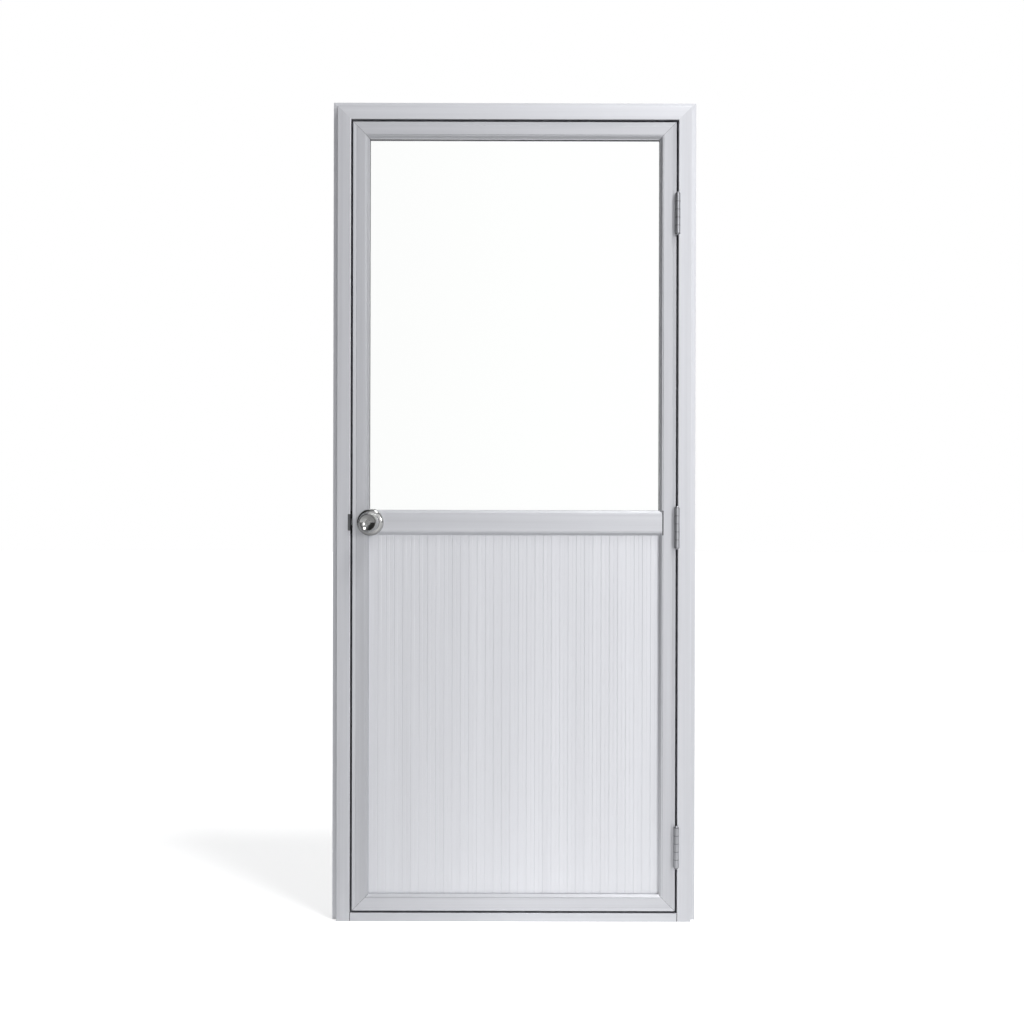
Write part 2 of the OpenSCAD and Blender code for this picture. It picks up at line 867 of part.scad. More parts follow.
module latch_face_plate() {
    t = bolt_t + 2 * lock_clear;
    h = bolt_h + 2 * lock_clear;
    color("gainsboro") difference() {
        translate([-leaf_x, latch_y - face_plate_w / 2, lock_z - plate_h / 2])
            cube([plate_t, face_plate_w, plate_h]);
        translate([-leaf_x - past, latch_y - t / 2, lock_z - h / 2])
            cube([plate_t + 2 * past, t, h]);
        for (i = [-0.5, 0.5])
            translate([-leaf_x, latch_y, lock_z + i * plate_screw_pitch]) rotate([0, 90, 0])
                screw_hole(plate_t);
    }
}

// The bevelled side faces into the wall, so that the strike plate pushes it in
module latch_bolt() {
    nose = 2;
    color("gainsboro") translate([-leaf_x, latch_y - bolt_t / 2, lock_z - bolt_h / 2])
        linear_extrude(height = bolt_h) polygon([
            [bolt_tail, 0],
            [-bolt_throw, 0],
            [-bolt_throw, nose],
            [-nose, bolt_t],
            [bolt_tail, bolt_t]
        ]);
}

// A pressed cup with a domed edge and a hole for the knob's neck
module rose() {
    r = rose_d / 2;
    w = rose_wall;
    hole = neck_d / 2 + lock_clear;
    edge_h = 1.5;
    land_w = 3;
    land_rise = 0.5;
    dome = rose_h - edge_h - land_rise;
    color("gainsboro") rotate_extrude() difference() {
        polygon(concat(
            [[hole, 0], [r, 0]],
            arc(r - dome, edge_h, dome, 0, 90, 6),
            [[r - dome - land_w, rose_h], [hole, rose_h]]
        ));
        translate([hole + w, -past]) square([r - dome - hole - w, rose_h - w + past]);
    }
}

module rose_outside() {
    on_front_face() rose();
}

module rose_inside() {
    on_back_face() rose();
}

function knob_curve(r, low, high, n = 5) = concat(
    [for (i = [0:n]) let (a = low * (1 - i / n)) [r * cos(a), knob_mid_z + knob_low_r * sin(a)]],
    [for (i = [1:n]) let (a = high * i / n) [r * cos(a), knob_mid_z + knob_high_r * sin(a)]]
);

function dish_curve(r, centre_z, from, to, n = 7) =
    [for (i = [0:n]) let (x = from + (to - from) * i / n) [x, centre_z - sqrt(r * r - x * x)]];

// A hollow knob; hole is the radius of the opening in the middle of its dish
module knob(hole) {
    r = knob_d / 2;
    rim = knob_rim_d / 2;
    bore = spindle_d / 2 + fixed_clear;
    neck = neck_d / 2;
    inner = r - knob_wall;
    floor_z = knob_h - dish_d;
    low = -acos(neck / r);
    high = acos(rim / r);
    lip = rim - rim_r;
    bowl_r = (lip * lip + dish_d * dish_d) / (2 * dish_d);
    bowl_z = floor_z + bowl_r;
    inner_low = -acos((bore + neck_land) / inner);
    inner_high = acos((rim - knob_wall) / inner) - rim_turn;
    color("gainsboro") rotate_extrude() polygon(concat(
        [[neck, knob_seat]],
        knob_curve(r, low, high),
        dish_curve(bowl_r, bowl_z, lip, hole),
        dish_curve(bowl_r + knob_wall, bowl_z, hole, rim - rim_wall),
        turned_back(knob_curve(inner, inner_low, inner_high)),
        [[bore, knob_mid_z - knob_low_r + neck_rise], [bore, knob_seat]]
    ));
}

module knob_outside() {
    on_front_face() knob(cylinder_d / 2 + fixed_clear);
}

module knob_inside() {
    on_back_face() knob(0);
}

module spindle() {
    color("darkgray") translate([lock_x, y_front - spindle_in, lock_z]) rotate([-90, 0, 0])
        cylinder(d = spindle_d, h = leaf_t + 2 * spindle_in);
}

module key_cylinder() {
    top = knob_h - dish_d + cylinder_out;
    color("gainsboro") on_front_face() difference() {
        translate([0, 0, top - cylinder_l]) cylinder(d = cylinder_d, h = cylinder_l);
        translate([-key_slot[0] / 2, -key_slot[1] / 2, top - key_slot[2]])
            cube([key_slot[0], key_slot[1], key_slot[2] + past]);
    }
}

jamb_latch_side();
jamb_hinge_side();
head();
sill();
stop_latch_side();
stop_hinge_side();
stop_head();
stop_sill();
stop_seals();
strike_plate();
hinge_top_frame_plate();
hinge_middle_frame_plate();
hinge_bottom_frame_plate();
hinge_top_pin();
hinge_middle_pin();
hinge_bottom_pin();
hinge_top_leaf_plate();
hinge_middle_leaf_plate();
hinge_bottom_leaf_plate();
stile_latch_side();
stile_hinge_side();
rail_top();
rail_middle();
rail_bottom();
glass_bead_latch_side();
glass_bead_hinge_side();
glass_bead_top();
glass_bead_bottom();
panel_bead_latch_side();
panel_bead_hinge_side();
panel_bead_top();
panel_bead_bottom();
glass_pane();
glass_gaskets();
ribbed_panel();
lock_body();
latch_face_plate();
rose_outside();
rose_inside();
latch_bolt();
knob_outside();
knob_inside();
spindle();
key_cylinder();
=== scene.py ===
# Aluminium swing door, standing in its frame in a white studio
from math import radians
import bpy
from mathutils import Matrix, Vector


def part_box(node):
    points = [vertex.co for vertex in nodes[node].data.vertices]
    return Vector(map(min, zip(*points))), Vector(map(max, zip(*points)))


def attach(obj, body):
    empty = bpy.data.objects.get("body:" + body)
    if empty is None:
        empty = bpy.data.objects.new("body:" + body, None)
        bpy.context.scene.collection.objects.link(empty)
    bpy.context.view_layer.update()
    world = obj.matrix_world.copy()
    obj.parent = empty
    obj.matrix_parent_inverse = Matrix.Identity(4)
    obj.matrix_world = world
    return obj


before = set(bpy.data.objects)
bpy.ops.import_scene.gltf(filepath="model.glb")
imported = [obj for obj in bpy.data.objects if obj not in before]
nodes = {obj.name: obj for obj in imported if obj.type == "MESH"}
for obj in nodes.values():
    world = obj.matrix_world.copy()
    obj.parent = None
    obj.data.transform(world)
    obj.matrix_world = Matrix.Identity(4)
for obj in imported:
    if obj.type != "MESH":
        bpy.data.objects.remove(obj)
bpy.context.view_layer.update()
scene = bpy.context.scene
print("frame loaded:", len(nodes), "nodes")


# small helpers for every material and piece

def toLinear(hexText):
    # an sRGB colour such as d8d9dc, in the linear numbers that shaders take
    parts = [int(hexText[i:i + 2], 16) / 255 for i in (0, 2, 4)]
    linear = [c / 12.92 if c <= 0.04045 else ((c + 0.055) / 1.055) ** 2.4 for c in parts]
    return (*linear, 1.0)


def addNode(tree, kind, settings=None, links=None):
    # a key that is one of the node's inputs sets that input, any other key sets the node itself
    node = tree.nodes.new(kind)
    for key, value in (settings or {}).items():
        if isinstance(key, str) and key not in node.inputs:
            setattr(node, key, value)
    for key, value in (settings or {}).items():
        if not isinstance(key, str) or key in node.inputs:
            node.inputs[key].default_value = value
    for key, (source, output) in (links or {}).items():
        tree.links.new(source.outputs[output], node.inputs[key])
    return node


def newMaterial(name):
    material = bpy.data.materials.new(name)
    material.use_nodes = True
    material.node_tree.nodes.clear()
    return material, material.node_tree


def finishMaterial(tree, shader, output="BSDF"):
    addNode(tree, "ShaderNodeOutputMaterial", links={"Surface": (shader, output)})


def dress(nodeNames, material):
    # gives CAD nodes their finish
    for name in nodeNames:
        slots = nodes[name].data.materials
        slots.clear()
        slots.append(material)


def splitRays(tree):
    # the kinds of ray, and a mark on those that the camera sees, straight or through glass
    rays = addNode(tree, "ShaderNodeLightPath")
    seen = addNode(tree, "ShaderNodeMath", {"operation": "MAXIMUM"},
                   {0: (rays, "Is Camera Ray"), 1: (rays, "Is Transmission Ray")})
    return rays, seen


def setStops(ramp, stops):
    # grey levels over a value from 0 to 1, each stop a place and its level
    marks = ramp.color_ramp.elements
    for place, level in stops[1:-1]:
        marks.new(place)
    for mark, (place, level) in zip(marks, stops):
        mark.position = place
        mark.color = (level, level, level, 1.0)


# camera: level with the middle of the door, as in the photo
view = {
    "place": (0.036, -3.429, 1.028),
    "turn": (89.888, -0.134, -0.064),   # degrees, a hair of pitch, roll and yaw
    "sensorWidth": 36.0,                # mm, and so is the lens
    "lens": 47.96,
    "shift": (-0.0176, 0.00094),
}
bpy.ops.object.camera_add(location=view["place"], rotation=[radians(a) for a in view["turn"]])
camera = bpy.context.object
camera.name = "photoCamera"
camera.data.sensor_width = view["sensorWidth"]
camera.data.lens = view["lens"]
camera.data.shift_x, camera.data.shift_y = view["shift"]
scene.camera = camera

# lamps: a faint softbox and two soft suns, all from the front right
softbox = {
    "place": (2.4, -3.2, 2.9),
    "aim": (0.1, 0.0, 1.05),
    "size": (1.6, 1.6),
    "power": 10.0,
}
bpy.ops.object.light_add(type="AREA", location=softbox["place"])
lamp = bpy.context.object
lamp.name = "keySoftbox"
lamp.data.shape = "RECTANGLE"
lamp.data.size, lamp.data.size_y = softbox["size"]
lamp.data.energy = softbox["power"]
beam = Vector(softbox["aim"]) - Vector(softbox["place"])
lamp.rotation_euler = beam.to_track_quat("-Z", "Y").to_euler()

suns = {
    # high, so the door's shadow falls back to the left
    "highSun": {"comesFrom": (0.68, -0.76, 1.65), "power": 1.6, "degreesAcross": 11.0},
    # low, so each step of the sections shades what lies at its left
    "lowSun": {"comesFrom": (0.55, -0.84, 0.20), "power": 0.6, "degreesAcross": 12.0},
}
sunDistance = 4.0                       # any will do, a sun lights the same from everywhere
for name, sunlight in suns.items():
    towards = Vector(sunlight["comesFrom"])
    bpy.ops.object.light_add(type="SUN", location=sunDistance * towards)
    sun = bpy.context.object
    sun.name = name
    sun.data.energy = sunlight["power"]
    sun.data.angle = radians(sunlight["degreesAcross"])
    sun.rotation_euler = (-towards).to_track_quat("-Z", "Y").to_euler()

# room: paper white to the camera and through glass, and a soft grey to matt things
room = {
    "paper": "ffffff",
    "softColour": "cfd0d2",
    "softStrength": 0.62,
    # metal sees a white wall behind the camera that falls off to dark walls at the sides, more so
    # at the left: its brightness from the left wall (0) over the front (0.5) to the right wall (1)
    "wallColour": "fdfdff",
    "wallsAcross": [(0.0, 0.04), (0.30, 0.08), (0.42, 0.38), (0.5, 1.02), (0.58, 1.34), (0.70, 0.62),
                    (1.0, 0.22)],
    "overhead": 0.2,                    # share of the walls' brightness that is left straight up
    "overheadRise": (0.3, 0.9),         # rise of the direction over which it falls to that share
}
world = bpy.data.worlds.new("whiteRoom")
world.use_nodes = True
scene.world = world
tree = world.node_tree
tree.nodes.clear()
rays, seen = splitRays(tree)
paper = addNode(tree, "ShaderNodeBackground", {"Color": toLinear(room["paper"]), "Strength": 1.0})
soft = addNode(tree, "ShaderNodeBackground",
               {"Color": toLinear(room["softColour"]), "Strength": room["softStrength"]})
coords = addNode(tree, "ShaderNodeTexCoord")
direction = addNode(tree, "ShaderNodeSeparateXYZ", links={"Vector": (coords, "Generated")})
fromLeft = addNode(tree, "ShaderNodeMapRange", {"From Min": -1.0, "From Max": 1.0},
                   {"Value": (direction, "X")})
walls = addNode(tree, "ShaderNodeValToRGB", links={"Fac": (fromLeft, "Result")})
setStops(walls, room["wallsAcross"])
overhead = addNode(tree, "ShaderNodeMapRange",
                   {"From Min": room["overheadRise"][0], "From Max": room["overheadRise"][1],
                    "To Min": 1.0, "To Max": room["overhead"]}, {"Value": (direction, "Z")})
wallLevel = addNode(tree, "ShaderNodeMath", {"operation": "MULTIPLY"},
                    {0: (walls, "Color"), 1: (overhead, "Result")})
mirrored = addNode(tree, "ShaderNodeBackground", {"Color": toLinear(room["wallColour"])},
                   {"Strength": (wallLevel, "Value")})
unseen = addNode(tree, "ShaderNodeMixShader",
                 links={"Fac": (rays, "Is Glossy Ray"), 1: (soft, "Background"),
                        2: (mirrored, "Background")})
everyRay = addNode(tree, "ShaderNodeMixShader",
                   links={"Fac": (seen, "Value"), 1: (unseen, "Shader"), 2: (paper, "Background")})
addNode(tree, "ShaderNodeOutputWorld", links={"Surface": (everyRay, "Shader")})

# floor: a matt white sheet, lifted to paper white where no shadow falls on it
floorSheet = {
    "size": 60.0,
    "drop": 0.0005,                     # below the sill, so that the two never share a plane
    "colour": "bcbcbc",
    "lift": 0.70,                       # white that the camera sees on top of the lit floor
    # sheen of the floor in metal, from the left end of its reach (0) over the door's middle (0.5)
    # to the right end (1)
    "sheenAcross": [(0.0, 0.12), (0.17, 0.16), (0.5, 0.95), (0.6, 0.90), (0.8, 0.70), (1.0, 0.60)],
    "sheenReach": 1.2,                  # metres to each side
    "sheenBlend": 0.5,                  # the sheen grows, the flatter the metal looks along the floor
}
bpy.ops.object.select_all(action="DESELECT")
bpy.ops.mesh.primitive_plane_add(size=floorSheet["size"], location=(0, 0, -floorSheet["drop"]))
floor = bpy.context.object
floor.name = "floorSheet"
floorMaterial, tree = newMaterial("matt white paper sweep")
rays, seen = splitRays(tree)
matt = addNode(tree, "ShaderNodeBsdfDiffuse", {"Color": toLinear(floorSheet["colour"])})
coords = addNode(tree, "ShaderNodeTexCoord")
place = addNode(tree, "ShaderNodeSeparateXYZ", links={"Vector": (coords, "Object")})
alongFloor = addNode(tree, "ShaderNodeMapRange",
                     {"From Min": -floorSheet["sheenReach"], "From Max": floorSheet["sheenReach"]},
                     {"Value": (place, "X")})
sheenAcross = addNode(tree, "ShaderNodeValToRGB", links={"Fac": (alongFloor, "Result")})
setStops(sheenAcross, floorSheet["sheenAcross"])
grazing = addNode(tree, "ShaderNodeLayerWeight", {"Blend": floorSheet["sheenBlend"]})
sheen = addNode(tree, "ShaderNodeMath", {"operation": "MULTIPLY"},
                {0: (sheenAcross, "Color"), 1: (grazing, "Facing")})
inMetal = addNode(tree, "ShaderNodeMath", {"operation": "MULTIPLY"},
                  {0: (sheen, "Value"), 1: (rays, "Is Glossy Ray")})
liftLevel = addNode(tree, "ShaderNodeMath", {"operation": "MULTIPLY_ADD", 1: floorSheet["lift"]},
                    {0: (seen, "Value"), 2: (inMetal, "Value")})
lift = addNode(tree, "ShaderNodeEmission", {"Color": toLinear("ffffff")},
               {"Strength": (liftLevel, "Value")})
lifted = addNode(tree, "ShaderNodeAddShader", links={0: (matt, "BSDF"), 1: (lift, "Emission")})
finishMaterial(tree, lifted, "Shader")
floor.data.materials.append(floorMaterial)
print("studio set")


# metal drawn or rolled in one direction: fine lines along it, broad bands, and clouds in its gloss
drawn = {
    "lineDetail": 3.0,
    "lineGrain": 0.6,
    "lineShare": 0.55,                  # of the lines in the tint, beside the bands
    "lineRelief": 0.0004,
    "bandWidth": 14,                    # widths of a line
    "bandRepeat": 0.35,                 # bands to one line, along the metal
    "bandDetail": 2.0,
    "tintNoise": (0.5, 1.05),           # noise where the tint is darkest and lightest
    "cloudMm": 285.7,
    "cloudDetail": 5.0,
    "cloudGrain": 0.62,
    "cloudShare": 0.5,                  # of the clouds in the gloss, beside the lines
    "glossNoise": (0.4, 1.1),           # noise where the metal is smoothest and roughest
}


def drawnMetal(name, alongAxis, finish):
    material, tree = newMaterial(name)
    coords = addNode(tree, "ShaderNodeTexCoord")
    fine = 1000.0 / finish["lineWidthMm"]
    slow = 1000.0 / finish["lineLengthMm"]
    lineScale = [slow if axis == alongAxis else fine for axis in "XYZ"]
    bandScale = [slow * drawn["bandRepeat"] if axis == alongAxis else fine / drawn["bandWidth"]
                 for axis in "XYZ"]
    lineMap = addNode(tree, "ShaderNodeMapping", {"Scale": lineScale}, {"Vector": (coords, "Object")})
    lines = addNode(tree, "ShaderNodeTexNoise",
                    {"Scale": 1.0, "Detail": drawn["lineDetail"], "Roughness": drawn["lineGrain"]},
                    {"Vector": (lineMap, "Vector")})
    bandMap = addNode(tree, "ShaderNodeMapping", {"Scale": bandScale}, {"Vector": (coords, "Object")})
    bands = addNode(tree, "ShaderNodeTexNoise", {"Scale": 1.0, "Detail": drawn["bandDetail"]},
                    {"Vector": (bandMap, "Vector")})
    clouds = addNode(tree, "ShaderNodeTexNoise",
                     {"Scale": 1000.0 / drawn["cloudMm"], "Detail": drawn["cloudDetail"],
                      "Roughness": drawn["cloudGrain"]}, {"Vector": (coords, "Object")})
    linesAndBands = addNode(tree, "ShaderNodeMath", {"operation": "MULTIPLY_ADD", 1: drawn["lineShare"]},
                            {0: (lines, "Fac"), 2: (bands, "Fac")})
    share = addNode(tree, "ShaderNodeMapRange",
                    {"From Min": drawn["tintNoise"][0], "From Max": drawn["tintNoise"][1]},
                    {"Value": (linesAndBands, "Value")})
    tint = addNode(tree, "ShaderNodeMix", {"data_type": "RGBA", 6: toLinear(finish["dark"]),
                                           7: toLinear(finish["light"])}, {0: (share, "Result")})
    cloudsAndLines = addNode(tree, "ShaderNodeMath", {"operation": "MULTIPLY_ADD", 1: drawn["cloudShare"]},
                             {0: (clouds, "Fac"), 2: (lines, "Fac")})
    rough = addNode(tree, "ShaderNodeMapRange",
                    {"From Min": drawn["glossNoise"][0], "From Max": drawn["glossNoise"][1],
                     "To Min": finish["roughness"][0], "To Max": finish["roughness"][1]},
                    {"Value": (cloudsAndLines, "Value")})
    ridges = addNode(tree, "ShaderNodeBump", {"Strength": finish["bump"], "Distance": drawn["lineRelief"]},
                     {"Height": (lines, "Fac")})
    shader = addNode(tree, "ShaderNodeBsdfPrincipled", {"Metallic": 1.0},
                     {"Base Color": (tint, 2), "Roughness": (rough, "Result"),
                      "Normal": (ridges, "Normal")})
    finishMaterial(tree, shader)
    return material


def stain(material, share, colour):
    # mixes a colour into the metal's own wherever share is above 0
    tree = material.node_tree
    shader = tree.nodes["Principled BSDF"]
    metal = shader.inputs["Base Color"].links[0].from_node
    stained = addNode(tree, "ShaderNodeMix", {"data_type": "RGBA", 7: toLinear(colour)},
                      {0: (share, "Value"), 6: (metal, 2)})
    tree.links.new(stained.outputs[2], shader.inputs["Base Color"])


# sealer squeezed out of the joints between the members, dusty and dark
sealer = {
    "colour": "505053",
    "mitreWidth": 0.0005,
    "sillWidth": 0.0014,
    "railWidth": 0.0030,
}


def sealJoints(material):
    tree = material.node_tree
    coords = addNode(tree, "ShaderNodeTexCoord")
    place = addNode(tree, "ShaderNodeSeparateXYZ", links={"Vector": (coords, "Object")})
    side = addNode(tree, "ShaderNodeMath", {"operation": "ABSOLUTE"}, {0: (place, "X")})
    outAndUp = addNode(tree, "ShaderNodeMath", {"operation": "SUBTRACT"},
                       {0: (side, "Value"), 1: (place, "Z")})
    outAndDown = addNode(tree, "ShaderNodeMath", {"operation": "ADD"},
                         {0: (side, "Value"), 1: (place, "Z")})
    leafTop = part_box("rail_top")[1]
    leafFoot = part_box("rail_bottom")
    onLeaf = ((side, "Value"), 0.0, leafTop.x)
    mitreReach = sealer["mitreWidth"] / 2 ** 0.5
    # each line lies where two measures keep within a reach of their middles: side less height stays
    # the same along the leaf's upper mitres, and side plus height along its lower ones
    lines = [
        (onLeaf, ((outAndUp, "Value"), leafTop.x - leafTop.z, mitreReach)),
        (onLeaf, ((outAndDown, "Value"), leafFoot[1].x + leafFoot[0].z, mitreReach)),
    ]
    for member, width in (("sill", sealer["sillWidth"]), ("rail_middle", sealer["railWidth"])):
        low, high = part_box(member)
        atEnd = ((side, "Value"), high.x, width / 2)
        atHeight = ((place, "Z"), (low.z + high.z) / 2, (high.z - low.z) / 2)
        lines.append((atEnd, atHeight))
    sealed = []
    for line in lines:
        within = [addNode(tree, "ShaderNodeMath", {"operation": "COMPARE", 1: middle, 2: reach},
                          {0: measure}) for measure, middle, reach in line]
        sealed.append(addNode(tree, "ShaderNodeMath", {"operation": "MULTIPLY"},
                              {0: (within[0], "Value"), 1: (within[1], "Value")}))
    share = sealed[0]
    for other in sealed[1:]:
        share = addNode(tree, "ShaderNodeMath", {"operation": "MAXIMUM"},
                        {0: (share, "Value"), 1: (other, "Value")})
    stain(material, share, sealer["colour"])


# anodised aluminium extrusions: drawn through a die, so fine lines run along each length,
# then etched and anodised to a satin, bluish grey with soft highlights
aluminium = {
    "light": "dfe0e4",
    "dark": "d1d2d6",
    "lineWidthMm": 1.6,                 # real die lines are 0.1 mm or less, coarser so that they show
    "lineLengthMm": 420.0,
    "roughness": (0.48, 0.58),
    "bump": 0.10,
}
# lit and shaded copies of one aluminium: each length's tone is painted paler or greyer to stand in for the
# light or shade that falls on it
litAndShadedTones = {
    "bright": dict(aluminium, light="e8e9ed", dark="d9dade"),
    "pale": aluminium,
    "grey": dict(aluminium, light="d6d7db", dark="c7c8cc"),
    "dull": dict(aluminium, light="cecfd3", dark="bfc0c4"),
}
# the way that each length runs, and its tone with painted light or shade
lengths = {
    ("upright", "pale"): ["jamb_latch_side", "jamb_hinge_side", "stop_latch_side", "stop_hinge_side",
                          "glass_bead_hinge_side", "panel_bead_hinge_side"],
    ("upright", "grey"): ["stile_latch_side", "stile_hinge_side"],
    ("upright", "dull"): ["glass_bead_latch_side", "panel_bead_latch_side"],
    ("level", "bright"): ["head"],
    ("level", "pale"): ["sill", "stop_head", "stop_sill", "rail_middle", "rail_bottom",
                        "glass_bead_bottom", "panel_bead_top"],
    ("level", "grey"): ["rail_top", "glass_bead_top"],
    ("level", "dull"): ["panel_bead_bottom"],
}
alongAxes = {"upright": "Z", "level": "X"}
for (way, paintedTone), members in lengths.items():
    name = "satin anodised aluminium, drawn %s, %s" % (way, paintedTone)
    lengthAluminium = drawnMetal(name, alongAxes[way], litAndShadedTones[paintedTone])
    sealJoints(lengthAluminium)
    dress(members, lengthAluminium)

# ribbed panel: a thin-walled extrusion with a paler, flatter finish than the frame
panelFinish = dict(aluminium, light="e9eaee", dark="e2e3e7", roughness=(0.44, 0.56), lineWidthMm=2.4,
                   bump=0.06)
dress(["ribbed_panel"], drawnMetal("satin ribbed aluminium sheet", "Z", panelFinish))
print("aluminium done")


# clear float glass, with a hint of green
glass = {"tint": "fefffe", "ior": 1.5}
glassMaterial, tree = newMaterial("clear float glass")
pane = addNode(tree, "ShaderNodeBsdfPrincipled",
               {"Base Color": toLinear(glass["tint"]), "IOR": glass["ior"], "Roughness": 0.0,
                "Transmission Weight": 1.0})
finishMaterial(tree, pane)
dress(["glass_pane"], glassMaterial)


# grey rubber for gaskets and seals: extruded, matt, with a dusty bloom
rubber = {
    "dark": "4a4b4e",
    "bloom": "626366",
    "bloomMm": 11.11,
    "bloomDetail": 4.0,
    "bump": 0.2,
    "grainRelief": 0.0003,
    "roughness": 0.7,
    "ior": 1.52,
}
rubberMaterial, tree = newMaterial("extruded EPDM rubber")
coords = addNode(tree, "ShaderNodeTexCoord")
dust = addNode(tree, "ShaderNodeTexNoise",
               {"Scale": 1000.0 / rubber["bloomMm"], "Detail": rubber["bloomDetail"]},
               {"Vector": (coords, "Object")})
tint = addNode(tree, "ShaderNodeMix", {"data_type": "RGBA", 6: toLinear(rubber["dark"]),
                                       7: toLinear(rubber["bloom"])}, {0: (dust, "Fac")})
grain = addNode(tree, "ShaderNodeBump", {"Strength": rubber["bump"], "Distance": rubber["grainRelief"]},
                {"Height": (dust, "Fac")})
matt = addNode(tree, "ShaderNodeBsdfPrincipled", {"Roughness": rubber["roughness"], "IOR": rubber["ior"]},
               {"Base Color": (tint, 2), "Normal": (grain, "Normal")})
finishMaterial(tree, matt)
dress(["stop_seals", "glass_gaskets"], rubberMaterial)


# stainless steel, turned: rings round the knobs' axis from the polishing wheel
steel = {
    "light": "bcbcbb",
    "dark": "9b9b9a",
    "ringMm": 0.9,                      # real rings are finer, drawn coarser so that they show
    "ringDetail": 3.0,
    "ringRelief": 0.0002,
    "bump": 0.08,
    "cloudMm": 16.667,                  # clouds in the polish
    "cloudDetail": 3.0,
    "cloudShare": 0.5,                  # of the clouds in the gloss, beside the rings
    "glossNoise": (0.4, 1.1),           # noise where the steel is smoothest and roughest
    "roughness": (0.10, 0.20),
}


def turnedSteel(name, centre):
    material, tree = newMaterial(name)
    coords = addNode(tree, "ShaderNodeTexCoord")
    centred = addNode(tree, "ShaderNodeMapping",
                      {"Location": (-centre[0], 0.0, -centre[2]), "Scale": (1.0, 0.0, 1.0)},
                      {"Vector": (coords, "Object")})
    radius = addNode(tree, "ShaderNodeVectorMath", {"operation": "LENGTH"}, {0: (centred, "Vector")})
    rings = addNode(tree, "ShaderNodeTexNoise",
                    {"noise_dimensions": "1D", "Scale": 1000.0 / steel["ringMm"],
                     "Detail": steel["ringDetail"]}, {"W": (radius, "Value")})
    clouds = addNode(tree, "ShaderNodeTexNoise",
                     {"Scale": 1000.0 / steel["cloudMm"], "Detail": steel["cloudDetail"]},
                     {"Vector": (coords, "Object")})
    tint = addNode(tree, "ShaderNodeMix", {"data_type": "RGBA", 6: toLinear(steel["dark"]),
                                           7: toLinear(steel["light"])}, {0: (rings, "Fac")})
    worn = addNode(tree, "ShaderNodeMath", {"operation": "MULTIPLY_ADD", 1: steel["cloudShare"]},
                   {0: (clouds, "Fac"), 2: (rings, "Fac")})
    rough = addNode(tree, "ShaderNodeMapRange",
                    {"From Min": steel["glossNoise"][0], "From Max": steel["glossNoise"][1],
                     "To Min": steel["roughness"][0], "To Max": steel["roughness"][1]},
                    {"Value": (worn, "Value")})
    ridges = addNode(tree, "ShaderNodeBump", {"Strength": steel["bump"], "Distance": steel["ringRelief"]},
                     {"Height": (rings, "Fac")})
    shader = addNode(tree, "ShaderNodeBsdfPrincipled", {"Metallic": 1.0},
                     {"Base Color": (tint, 2), "Roughness": (rough, "Result"),
                      "Normal": (ridges, "Normal")})
    finishMaterial(tree, shader)
    return material


low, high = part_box("spindle")
knobSteel = turnedSteel("turned stainless steel", (low + high) / 2)
dress(["knob_outside", "knob_inside", "rose_outside", "rose_inside", "key_cylinder"], knobSteel)


# satin steel sheet for the lock's face plate and the screws: rolled, then brushed upright
plate = {
    "light": "cdced2",
    "dark": "b4b5b9",
    "roughness": (0.30, 0.42),
    "lineWidthMm": 0.9,
    "lineLengthMm": 40.0,
    "bump": 0.08,
}
plateSteel = drawnMetal("brushed steel sheet", "Z", plate)
dress(["latch_face_plate"], plateSteel)

# the hinges are pressed from a duller sheet, with dark oil in the joints between their knuckles
hinge = {
    "sheet": dict(plate, light="babbbf", dark="a3a4a8", roughness=(0.44, 0.54)),
    "knuckles": 5,
    "oil": "58585a",
    "oilWidth": 0.0004,
}


def oilJoints(material, low, high):
    # low and high are the corners of the box round one of the hinge's plates, knuckles and all
    tree = material.node_tree
    length = (high.z - low.z) / hinge["knuckles"]
    coords = addNode(tree, "ShaderNodeTexCoord")
    place = addNode(tree, "ShaderNodeSeparateXYZ", links={"Vector": (coords, "Object")})
    height = addNode(tree, "ShaderNodeMath", {"operation": "SUBTRACT", 1: low.z}, {0: (place, "Z")})
    fromJoint = addNode(tree, "ShaderNodeMath", {"operation": "PINGPONG", 1: length / 2},
                        {0: (height, "Value")})
    oily = addNode(tree, "ShaderNodeMapRange",
                   {"From Min": hinge["oilWidth"], "From Max": 2 * hinge["oilWidth"],
                    "To Min": 1.0, "To Max": 0.0}, {"Value": (fromJoint, "Value")})
    # the knuckles stand out to the front, as deep as the plate's box is wide
    onKnuckle = addNode(tree, "ShaderNodeMath", {"operation": "LESS_THAN", 1: low.y + (high.x - low.x)},
                        {0: (place, "Y")})
    share = addNode(tree, "ShaderNodeMath", {"operation": "MULTIPLY"},
                    {0: (oily, "Result"), 1: (onKnuckle, "Value")})
    stain(material, share, hinge["oil"])


hingePlaces = ("top", "middle", "bottom")
for place in hingePlaces:
    hingeSteel = drawnMetal("satin pressed steel, %s hinge" % place, "Z", hinge["sheet"])
    low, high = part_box("hinge_%s_frame_plate" % place)
    oilJoints(hingeSteel, low, high)
    dress(["hinge_%s_%s" % (place, part) for part in ("frame_plate", "leaf_plate", "pin")], hingeSteel)

# painted shade: the strike plate and the bolt are of steel coloured dark to stand in for the shade that
# they sit in
shadeDarkened = dict(plate, light="77787a", dark="5d5e60")
dress(["strike_plate", "latch_bolt"], drawnMetal("oiled steel", "Z", shadeDarkened))

# zinc-plated steel inside the lock: pale, slightly yellow and blotchy
zinc = dict(plate, light="bfc0bd", dark="9fa19c", roughness=(0.38, 0.55), lineLengthMm=3.0,
            lineWidthMm=3.0)
dress(["lock_body", "spindle"], drawnMetal("zinc-plated steel", "X", zinc))
print("metals, glass and rubber done")


